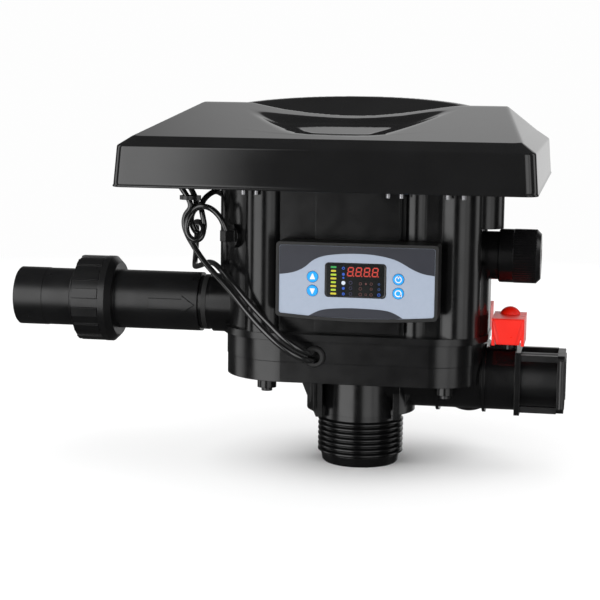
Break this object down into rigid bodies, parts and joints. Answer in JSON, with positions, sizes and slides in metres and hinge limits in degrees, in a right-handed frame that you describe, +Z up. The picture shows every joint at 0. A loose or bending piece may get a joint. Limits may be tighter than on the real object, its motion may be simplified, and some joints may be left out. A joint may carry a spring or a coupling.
{
  "type": "multiport valve",
  "caption": "Motorised multiport valve: threaded tank neck, union inlet, caged ball outlet, flow knob, keyed display panel and a broad lift-off cover over a disc drive.",
  "frame": {"origin": "on the tank thread's axis, at its lower end", "axes": "+Z up along the thread and the drive stem, -Y out of the display panel, -X out of the inlet union, +X out of the outlet"},
  "size_m": [0.4734, 0.3132, 0.308],
  "materials": {
    "casing_black": "fine moulded grain, satin",
    "cover_black": "polished",
    "panel_black": "satin",
    "label_blue_grey": "printed film",
    "window_black": "polished",
    "module_black": "satin",
    "board_green": "coated board",
    "key_blue": "domed",
    "steel": "plated",
    "brass_plain": "turned",
    "red_plastic": "satin",
    "ball_grey": "polished",
    "seat_white": "smooth",
    "rubber_black": "smooth",
    "ceramic_white": "lapped",
    "gear_white": "moulded",
    "motor_metal": "brushed",
    "lead_black": "glossy sheath"
  },
  "bodies": {
    "valve": {"lower_casing": "casing_black", "riser_insert": "casing_black", "riser_seal": "rubber_black", "boss_screws": "steel", "upper_casing": "casing_black", "lid_seal": "rubber_black", "union_body": "casing_black", "inlet_spigot": "casing_black", "union_seal": "rubber_black", "stub_seal": "rubber_black", "outlet_socket": "casing_black", "outlet_seats": "seat_white", "drain_seats": "seat_white", "knob_ring": "casing_black", "deck_plate": "casing_black", "deck_screws": "steel", "lead_bushings": "rubber_black", "disc_seal": "rubber_black", "fixed_disc": "ceramic_white", "stem_bush": "gear_white", "motor_bracket": "steel", "drive_motor": "motor_metal", "sensor_board": "board_green", "board_posts": "brass_plain", "panel_housing": "panel_black", "panel_label": "label_blue_grey", "display_window": "window_black", "digit_module": "module_black", "display_board": "board_green", "board_pillars": "brass_plain", "lead_grommet": "rubber_black", "side_gland": "casing_black", "rear_gland": "casing_black", "display_lead": "lead_black", "power_lead": "lead_black", "probe_lead": "lead_black", "display_tail": "lead_black", "power_tail": "lead_black", "probe_tail": "lead_black", "lead_hank": "lead_black", "lead_tie": "panel_black"},
    "inlet_nut": {"union_nut": "casing_black"},
    "flow_knob": {"knob_cap": "casing_black", "flow_plunger": "gear_white"},
    "outlet_lever": {"outlet_handle": "red_plastic", "outlet_ball": "ball_grey"},
    "drain_lever": {"drain_handle": "red_plastic", "drain_ball": "ball_grey"},
    "rotor": {"drive_stem": "gear_white", "moving_disc": "ceramic_white", "drive_gear": "gear_white", "position_magnets": "steel"},
    "pinion": {"motor_pinion": "brass_plain"},
    "cover": {"top_cover": "cover_black"},
    "up_key": {"key_up": "key_blue"},
    "down_key": {"key_down": "key_blue"},
    "menu_key": {"key_menu": "key_blue"},
    "enter_key": {"key_enter": "key_blue"}
  },
  "joints": [
    {"name": "nut_turn", "type": "hinge", "parent": "valve", "child": "inlet_nut", "pos_m": [-0.229, 0, 0.1316], "axis": [1, 0, 0], "continuous": true},
    {"name": "knob_turn", "type": "hinge", "parent": "valve", "child": "flow_knob", "pos_m": [0.12, 0, 0.1794], "axis": [1, 0, 0], "continuous": true},
    {"name": "outlet_turn", "type": "hinge", "parent": "valve", "child": "outlet_lever", "pos_m": [0.1244, 0, 0.076], "axis": [0, 0, 1], "range_deg": [0, 90]},
    {"name": "drain_turn", "type": "hinge", "parent": "valve", "child": "drain_lever", "pos_m": [0.091, 0.07, 0.072], "axis": [0, 0, 1], "range_deg": [-90, 0]},
    {"name": "rotor_turn", "type": "hinge", "parent": "valve", "child": "rotor", "pos_m": [0, 0, 0.2], "axis": [0, 0, 1], "continuous": true},
    {"name": "pinion_turn", "type": "hinge", "parent": "valve", "child": "pinion", "pos_m": [0.02813, 0.04871, 0.253], "axis": [0, 0, 1], "continuous": true},
    {"name": "cover_lift", "type": "slide", "parent": "valve", "child": "cover", "axis": [0, 0, 1], "range_m": [0, 0.09]},
    {"name": "up_press", "type": "slide", "parent": "valve", "child": "up_key", "axis": [0, 1, 0], "range_m": [0, 0.0005], "stiffness_N_per_m": 300},
    {"name": "down_press", "type": "slide", "parent": "valve", "child": "down_key", "axis": [0, 1, 0], "range_m": [0, 0.0005], "stiffness_N_per_m": 300},
    {"name": "menu_press", "type": "slide", "parent": "valve", "child": "menu_key", "axis": [0, 1, 0], "range_m": [0, 0.0005], "stiffness_N_per_m": 300},
    {"name": "enter_press", "type": "slide", "parent": "valve", "child": "enter_key", "axis": [0, 1, 0], "range_m": [0, 0.0005], "stiffness_N_per_m": 300}
  ],
  "couplings": [
    {"joint": "pinion_turn", "follows": "rotor_turn", "ratio": -4}
  ]
}
